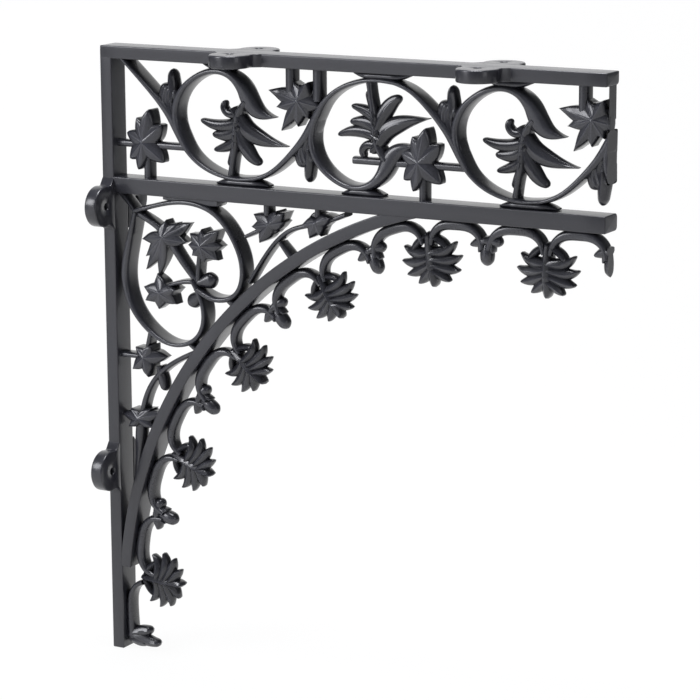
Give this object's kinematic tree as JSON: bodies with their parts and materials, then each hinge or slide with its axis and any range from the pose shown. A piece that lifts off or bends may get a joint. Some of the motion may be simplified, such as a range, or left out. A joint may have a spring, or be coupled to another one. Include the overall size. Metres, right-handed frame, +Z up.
{
  "type": "shelf bracket",
  "caption": "Ornate right-angled shelf bracket: a wall bar and shelf bar with screw lugs, an open scrollwork frieze, a quarter arch and a hanging leaf cresting.",
  "frame": {"origin": "centre of the four wall screws, on the wall face, in the middle of the bracket's depth", "axes": "+X out from the wall along the shelf, +Y along the wall towards the rear face, +Z up"},
  "size_m": [0.537, 0.0938, 0.61],
  "materials": {
    "iron": "satin black paint over cast iron"
  },
  "bodies": {
    "root": {"arch_rib": "iron", "cresting_bud_1": "iron", "cresting_bud_11": "iron", "cresting_bud_3": "iron", "cresting_bud_5": "iron", "cresting_bud_7": "iron", "cresting_bud_9": "iron", "cresting_foot_bud": "iron", "cresting_leaf_1": "iron", "cresting_leaf_11": "iron", "cresting_leaf_3": "iron", "cresting_leaf_5": "iron", "cresting_leaf_7": "iron", "cresting_leaf_9": "iron", "frieze_acanthus_1": "iron", "frieze_acanthus_2": "iron", "frieze_acanthus_3": "iron", "frieze_calyx_1": "iron", "frieze_calyx_2": "iron", "frieze_calyx_3": "iron", "frieze_calyx_4": "iron", "frieze_leaf_1": "iron", "frieze_leaf_2": "iron", "frieze_leaf_3": "iron", "frieze_leaf_4": "iron", "frieze_scroll_1": "iron", "frieze_scroll_2": "iron", "frieze_scroll_3": "iron", "frieze_scroll_4": "iron", "middle_rail": "iron", "shelf_bar": "iron", "shelf_lug_inner_front": "iron", "shelf_lug_inner_rear": "iron", "shelf_lug_outer_front": "iron", "shelf_lug_outer_rear": "iron", "spandrel_branch": "iron", "spandrel_finial": "iron", "spandrel_leaf_corner": "iron", "spandrel_leaf_inner": "iron", "spandrel_leaf_outer": "iron", "spandrel_lower_leaf": "iron", "spandrel_lower_stem": "iron", "spandrel_scroll_left": "iron", "spandrel_scroll_top": "iron", "spandrel_side_leaf_1": "iron", "spandrel_side_leaf_2": "iron", "spandrel_side_stem": "iron", "wall_bar": "iron", "wall_lug_lower_front": "iron", "wall_lug_lower_rear": "iron", "wall_lug_upper_front": "iron", "wall_lug_upper_rear": "iron"}
  },
  "joints": []
}
